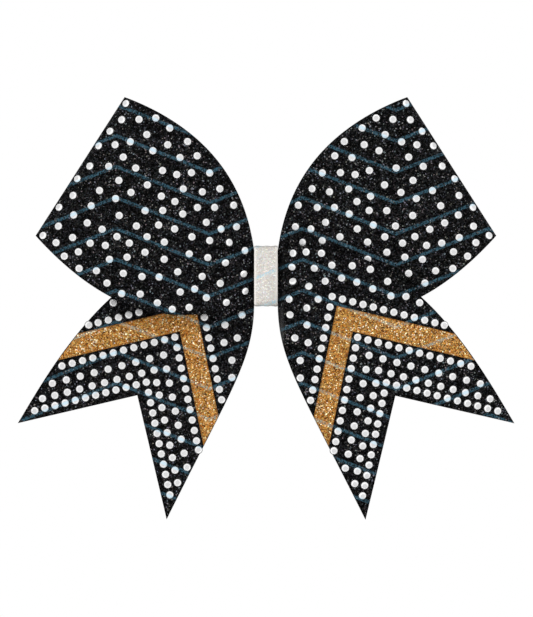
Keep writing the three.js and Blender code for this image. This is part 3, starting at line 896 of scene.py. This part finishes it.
def make_chevron(word, side):
    u, v = grid(*CHEVRON_GRID)

    def line(corner):
        corner = np.array(corner)
        upper = arm_end(TAIL_TOP, corner, UPPER_ARM_DEG)
        lower = arm_end(TAIL_BOTTOM, corner, LOWER_ARM_DEG)
        ends = np.where(u[..., None] < 0.5, upper, lower)
        return corner + (ends - corner) * np.abs(2 * u - 1)[..., None]

    xz = line(CHEVRON_OUTER) * (1 - v)[..., None] + line(CHEVRON_INNER) * v[..., None]
    band = shell(
        f"chevron_{word}_band",
        on_tail(side, xz, -CHEVRON_T),
        on_tail(side, xz, -CHEVRON_GAP),
        {"edge": np.minimum(v, 1 - v) * CHEVRON_W, "front": np.ones_like(u)},
    )
    dress(band, gold_glitter, "gold_glitter", f"chevron_{word}")


# ------------------------------------------------------------------ rhinestones

def cut_stone():
    """Points and faces of one stone on z = 0, with the tone of each face."""
    def ring(count, radius, height, start):
        angles = 2 * math.pi * (np.arange(count) + start) / count
        heights = np.full(count, height)
        return np.stack([radius * np.cos(angles), radius * np.sin(angles), heights], -1)

    n = STONE_SIDES
    middle_r = (STONE_R + 2 * TABLE_R) / 3
    middle_h = GIRDLE_H + CROWN_BREAK * (STONE_H - GIRDLE_H)
    rings = [
        ring(2 * n, STONE_R + SHADE_RIM, 0.0, 0),
        ring(2 * n, STONE_R + SHADE_RIM, SHADE_RIM_H, 0),
        ring(2 * n, STONE_R - FOOT_INSET, FOOT_H, 0),
        ring(2 * n, STONE_R, GIRDLE_H, 0),
        ring(n, middle_r, middle_h, 0.5),
        ring(n, TABLE_R, STONE_H, 0),
    ]
    girdle, middle, table = 6 * n, 8 * n, 9 * n
    faces, tones = [], []

    def add(facet, *corners):
        faces.append(list(corners))
        tones.append(FACET_TONES[facet])

    # The bottom and the flared rim take the rim's tone, painted shade round the stone.
    add("glue", *range(2 * n - 1, -1, -1))
    for row, facet in enumerate(("glue", "glue", "girdle")):
        low = 2 * n * row
        high = low + 2 * n
        for k in range(2 * n):
            after = (k + 1) % (2 * n)
            add(facet, low + k, low + after, high + after, high + k)
    for k in range(n):
        after, before = (k + 1) % n, (k - 1) % n
        add("upper_left", middle + k, girdle + 2 * k + 1, girdle + (2 * k + 2) % (2 * n))
        add("upper_right", middle + k, girdle + 2 * k, girdle + 2 * k + 1)
        add("kite", table + k, middle + before, girdle + 2 * k, middle + k)
        add("star", table + k, middle + k, table + after)
    add("table", *range(table, table + n))
    return np.concatenate(rings), faces, tones


def inside_outline(points, top, bottom, notch=None):
    """Signed distance from a panel's outline for (x, z) points: above 0 inside it."""
    tiny = 1e-9
    t = np.linspace(0, 1, 120)
    end = [] if notch is None else [notch]
    line = np.array([*bezier(top, t), *end, *bezier(bottom, t[::-1])])
    run = np.roll(line, -1, 0) - line
    offset = points[:, None] - line
    share = np.clip((offset * run).sum(-1) / np.maximum((run ** 2).sum(-1), tiny), 0, 1)
    gap = np.linalg.norm(offset - share[..., None] * run, axis=-1).min(1)
    z = points[:, 1:2]
    crosses = (line[:, 1] > z) != (np.roll(line[:, 1], -1) > z)
    rise = np.where(np.abs(run[:, 1]) < tiny, tiny, run[:, 1])
    at = line[:, 0] + (z - line[:, 1]) / rise * run[:, 0]
    within = (crosses & (points[:, :1] < at)).sum(1) % 2 == 1
    return np.where(within, gap, -gap)


def in_loop(points):
    return inside_outline(points, LOOP_TOP, LOOP_BOTTOM)


def in_tail(points):
    return inside_outline(points, TAIL_TOP, TAIL_BOTTOM, TAIL_NOTCH)


def scatter(candidates, count, taken=()):
    """Up to `count` well spaced picks, in order: the spacing shrinks until they all fit."""
    spacing = STONE_SPACING
    picked = []
    while len(picked) < count and spacing > STONE_R * 2:
        for k, candidate in enumerate(candidates):
            others = np.array([*candidates[picked], *taken]).reshape(-1, 2)
            if (np.linalg.norm(others - candidate, axis=1) > spacing).all():
                picked.append(k)
            if len(picked) == count:
                break
        spacing *= SPACING_STEP
    return picked


def loop_stones():
    """(u, v) and (x, z) of the stones on the front of the right loop."""
    chance = np.random.default_rng(LOOP_SEED)
    corners = len(CORNER_VS)
    u = np.concatenate([[CORNER_U] * corners, chance.uniform(*LOOP_U, CANDIDATES)])
    v = np.concatenate([CORNER_VS, chance.uniform(*LOOP_V, CANDIDATES)])
    place = loop_surface(1, u, v, 0.0)[:, [0, 2]]
    good = in_loop(place) > EDGE_MARGIN
    good &= place[:, 0] > KNOT_HALF_W + KNOT_MARGIN
    good[:corners] = True
    u, v, place = u[good], v[good], place[good]
    picked = scatter(place, LOOP_STONES)
    return u[picked], v[picked], place[picked]


def tail_stones():
    """(x, z) of the stones on the right tail: the rows beside the chevron, then a scatter."""
    rows, inwards = [], []
    arms = [np.array((math.cos(a), math.sin(a))) for a in map(math.radians, ROW_ARM_DEGS)]
    for corner, counts, pitch in STONE_ROWS:
        rows.append(np.array(corner))
        inwards.append(np.zeros(2))
        for arm, count in zip(arms, counts):
            rows += [np.array(corner) + arm * pitch * (k + 1) for k in range(count)]
            inwards += [-arm] * count
    rows = np.array(rows)
    rows += np.array(inwards) * np.clip(STONE_R - in_tail(rows), 0, ROW_SLACK)[:, None]
    rows = rows[in_tail(rows) > STONE_R * ROW_END_SHARE]
    chance = np.random.default_rng(TAIL_SEED)
    loose = chance.uniform(LOOSE_LOW, LOOSE_HIGH, (CANDIDATES, 2))
    first = loose - STONE_ROWS[0][0]
    above = first @ np.array((-arms[0][1], arms[0][0]))
    inward = first @ np.array((arms[1][1], -arms[1][0]))
    good = np.maximum(above, inward) > ROW_CLEARANCE
    good &= in_tail(loose) > EDGE_MARGIN
    good &= loose[:, 0] > KNOT_HALF_W + FLARE_RUN + STONE_R
    loose = loose[good]
    picked = scatter(loose, TAIL_STONES, rows)
    return np.array([*rows, *loose[picked]])


def set_stones(name, places, normals, seed):
    """One piece that holds every stone of a panel, each turned its own way on the surface."""
    points, faces, tones = cut_stone()
    chance = random.Random(seed)
    all_points, all_faces, all_tones = [], [], []
    for place, normal in zip(places, normals):
        turn = chance.uniform(0, 2 * math.pi)
        side = np.cross(normal, (math.cos(turn), 0, math.sin(turn)))
        side /= np.linalg.norm(side)
        axes = np.stack([side, np.cross(normal, side), normal])
        first = len(all_points) * len(points)
        all_points.append(place + points @ axes - normal * STONE_SUNK)
        all_faces += [[first + k for k in face] for face in faces]
        all_tones += [min(1, tone * chance.uniform(*TONE_SPREAD)) for tone in tones]
    made = mesh_object(
        name, np.concatenate(all_points), all_faces, {"facet": ("FACE", all_tones)}, sharp_deg=3
    )
    return dress(made, rhinestone, "rhinestone")


def surface_normals(centre, along_u, along_v):
    """Unit normals, to the front, from each point and its two near neighbours on the surface."""
    normal = np.cross(along_u - centre, along_v - centre)
    normal /= np.linalg.norm(normal, axis=-1, keepdims=True)
    return np.where(normal[:, 1:2] > 0, -normal, normal)


def make_stones(word, side):
    """The stones of one side's loop and tail, less those hidden by the panel that lies over."""
    step = 1e-3
    u, v, place = loop_stones()
    if side > 0:
        clear = in_tail(place) < STONE_R * SHOWN_UNDER
        u, v = u[clear], v[clear]
    centre = loop_surface(side, u, v, 0.0)
    normals = surface_normals(
        centre, loop_surface(side, u + step, v, 0.0), loop_surface(side, u, v + step, 0.0)
    )
    set_stones(f"stones_loop_{word}", centre, normals, LOOP_TURN_SEED)
    xz = tail_stones()
    if side < 0:
        xz = xz[in_loop(xz) < STONE_R * SHOWN_UNDER]
    centre = on_tail(side, xz, 0.0)
    normals = surface_normals(
        centre, on_tail(side, xz + (step, 0), 0.0), on_tail(side, xz + (0, step), 0.0)
    )
    set_stones(f"stones_tail_{word}", centre, normals, TAIL_TURN_SEED)


# ------------------------------------------------------------------ knot

def knot_surface(u, v, depth):
    """The strip from its start at the back, once round, to its lapped end."""
    step = 0.002
    turn = u * (1 + KNOT_OVERLAP)
    lower = [(y, -z) for y, z in KNOT_UPPER[-2:0:-1]]
    outline = (*KNOT_UPPER, *lower)
    point = closed_spline(outline, turn % 1)
    ahead = closed_spline(outline, (turn + step) % 1)
    behind = closed_spline(outline, (turn - step) % 1)
    tangent = ahead - behind
    tangent /= np.linalg.norm(tangent, axis=-1, keepdims=True)
    normal = np.stack([tangent[..., 1], -tangent[..., 0]], -1)
    w = 2 * v - 1
    facing = np.maximum(0, -normal[..., 0]) ** 2
    dome = KNOT_DOME * (1 - w ** 2) * facing
    reach = np.abs(w)
    hem = KNOT_HEM * smooth(reach, *KNOT_HEM_CLIMB) * (1 - smooth(reach, *KNOT_HEM_FALL))
    ripple = KNOT_RIPPLE * np.sin(KNOT_RIPPLE_RATE * w + KNOT_RIPPLE_PHASE)
    ripple *= 1 - KNOT_RIPPLE_EASE * facing
    lap = KNOT_LAP_RISE * smooth(turn, *KNOT_LAP_RAMP)
    out = dome + hem + ripple + lap - depth
    yz = point + normal * out[..., None]
    return np.stack([KNOT_HALF_W * w, yz[..., 0], yz[..., 1]], -1)


def make_knot():
    u, v = grid(*KNOT_GRID)
    face = knot_surface(u, v, 0.0)
    y, z = face[..., 1], face[..., 2]
    edge = np.minimum(v, 1 - v) * 2 * KNOT_HALF_W
    # Painted shade along the fold where the strip turns over at its top and bottom.
    crease_shade = KNOT_CREASE_SHADE_SHARE * np.exp(-(((y - KNOT_CREASE_Y) / KNOT_CREASE_W) ** 2))
    crease_shade *= np.abs(z) > KNOT_CREASE_FROM_Z
    strip = shell(
        "knot_strip",
        face,
        knot_surface(u, v, KNOT_FACE_T),
        {"edge": edge, "front": (y < LOOP_FRONT_Y).astype(float), "crease_shade": crease_shade},
    )
    liner = shell(
        "knot_liner",
        knot_surface(u, v, KNOT_LINER_FROM),
        knot_surface(u, v, KNOT_LINER_TO),
        {"along": u * KNOT_ROUND, "edge": edge},
    )
    dress(strip, white_glitter, "white_glitter", "knot_glitter")
    dress(liner, white_grosgrain, "white_ribbon", "knot_ribbon")


# ------------------------------------------------------------------ clip

def make_spring():
    """The torsion spring: fixed leg, coil round the pin, and the leg under the lever."""
    hinge = Vector(frame["joints"][0]["pos_m"]) / MM
    path = [(hinge.x + x, y, COIL_HALF_W) for x, y in FIXED_LEG]
    for k in range(COIL_STEPS + 1):
        angle = -math.pi / 2 - 2 * math.pi * COIL_TURNS * k / COIL_STEPS
        x = hinge.x + COIL_R * math.cos(angle)
        y = hinge.y + COIL_R * math.sin(angle)
        path.append((x, y, COIL_HALF_W * (1 - 2 * k / COIL_STEPS)))
    path += [(hinge.x + x, hinge.y + y, -COIL_HALF_W) for x, y in LEVER_LEG]
    wire = tube("torsion_spring", path, WIRE_R, WIRE_SIDES)
    wire.data.materials.append(spring_wire)
    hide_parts("clip_spring")
    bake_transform(wire)


def make_lining():
    """Grosgrain glued to the front of the fixed jaw."""
    low, high = (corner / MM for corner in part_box("clip_lining"))
    u, v = grid(*LINING_GRID)
    x = low.x + (high.x - low.x) * u
    ends = np.minimum(x - low.x, high.x - x)
    half = (high.z - low.z) / 2 * np.sqrt(np.clip(ends / LINING_ROUND, LINING_BLUNT, 1))
    z = half * (2 * v - 1)
    lining = shell(
        "lining_ribbon",
        np.stack([x, np.full_like(x, low.y), z], -1),
        np.stack([x, np.full_like(x, high.y), z], -1),
        {"along": x, "edge": np.minimum(v, 1 - v) * 2 * half},
    )
    dress(lining, black_grosgrain, "black_ribbon", "clip_lining")


def dress_cad_nodes():
    """Better materials for the CAD nodes that stay in view."""
    looks = {
        "clip_fixed_jaw": nickel,
        "clip_moving_jaw": nickel,
        "clip_pin": nickel,
        "binding_thread": waxed_thread(),
        "glue_left": set_glue(),
        "glue_right": set_glue(),
    }
    for name, material in looks.items():
        node = frame["nodes"][name]
        node.data.materials.clear()
        node.data.materials.append(material)


# ------------------------------------------------------------------ studio

def make_camera():
    data = bpy.data.cameras.new("camera")
    data.sensor_width = SENSOR_W
    data.lens = data.sensor_width * CAMERA_DISTANCE / VIEW_HEIGHT
    data.clip_start = NEAREST
    data.clip_end = FURTHEST
    camera = bpy.data.objects.new("camera", data)
    camera.location = Vector(VIEW_CENTRE) - Vector((0, CAMERA_DISTANCE, 0))
    camera.rotation_euler = (math.pi / 2, 0, 0)
    bpy.context.scene.collection.objects.link(camera)
    bpy.context.scene.camera = camera


def make_light(name, place, size, power):
    """A round lamp that faces the bow."""
    data = bpy.data.lights.new(name, "AREA")
    data.shape = "DISK"
    data.size = size
    data.energy = power
    light = bpy.data.objects.new(name, data)
    light.location = place
    light.rotation_euler = (-Vector(place)).to_track_quat("-Z", "Y").to_euler()
    bpy.context.scene.collection.objects.link(light)


def make_studio():
    world = bpy.data.worlds.new("studio")
    world.use_nodes = True
    background = world.node_tree.nodes["Background"]
    background.inputs["Color"].default_value = (1, 1, 1, 1)
    background.inputs["Strength"].default_value = 1.0
    bpy.context.scene.world = world
    bpy.context.scene.view_settings.view_transform = "Standard"
    for light in LIGHTS:
        make_light(*light)
    around = 2 * math.pi * np.arange(FLOOR_SIDES) / FLOOR_SIDES
    level = np.full(FLOOR_SIDES, FLOOR_Z)
    rim = np.stack([FLOOR_R * np.cos(around), FLOOR_R * np.sin(around), level], -1)
    floor = mesh_object("floor", rim / MM, [list(range(FLOOR_SIDES))])
    floor.data.materials.append(studio_floor())


make_camera()
for word, side in (("left", -1), ("right", 1)):
    make_loop(word, side)
    make_tail(word, side)
    make_chevron(word, side)
    make_stones(word, side)
make_knot()
make_spring()
make_lining()
dress_cad_nodes()
make_studio()
